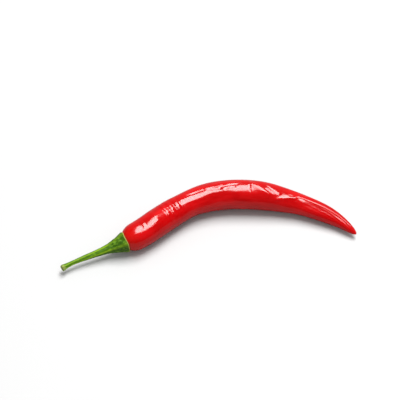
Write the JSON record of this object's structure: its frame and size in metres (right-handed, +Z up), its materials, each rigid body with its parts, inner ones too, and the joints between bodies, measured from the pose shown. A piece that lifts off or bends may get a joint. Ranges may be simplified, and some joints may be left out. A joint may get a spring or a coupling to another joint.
{
  "type": "chilli pepper",
  "caption": "Long red chilli pepper lying on its side: a bent, tapering glossy pod with its ribbed green calyx and thin stem.",
  "frame": {"origin": "under the middle of the chilli's bounding box, on the surface that it lies on", "axes": "+X from the stem's side towards the tip, +Y towards the back of the bend, +Z up from the surface"},
  "size_m": [0.141, 0.051, 0.0149],
  "materials": {
    "red_skin": "smooth waxy skin, glossy, with faint wrinkles across it",
    "calyx_green": "ribbed and leathery, mottled with darker green, with a thin pale rim",
    "stem_green": "finely grooved along its length, with a pale, rough cut end"
  },
  "bodies": {
    "root": {"pod": "red_skin", "calyx": "calyx_green", "stem": "stem_green"}
  },
  "joints": []
}
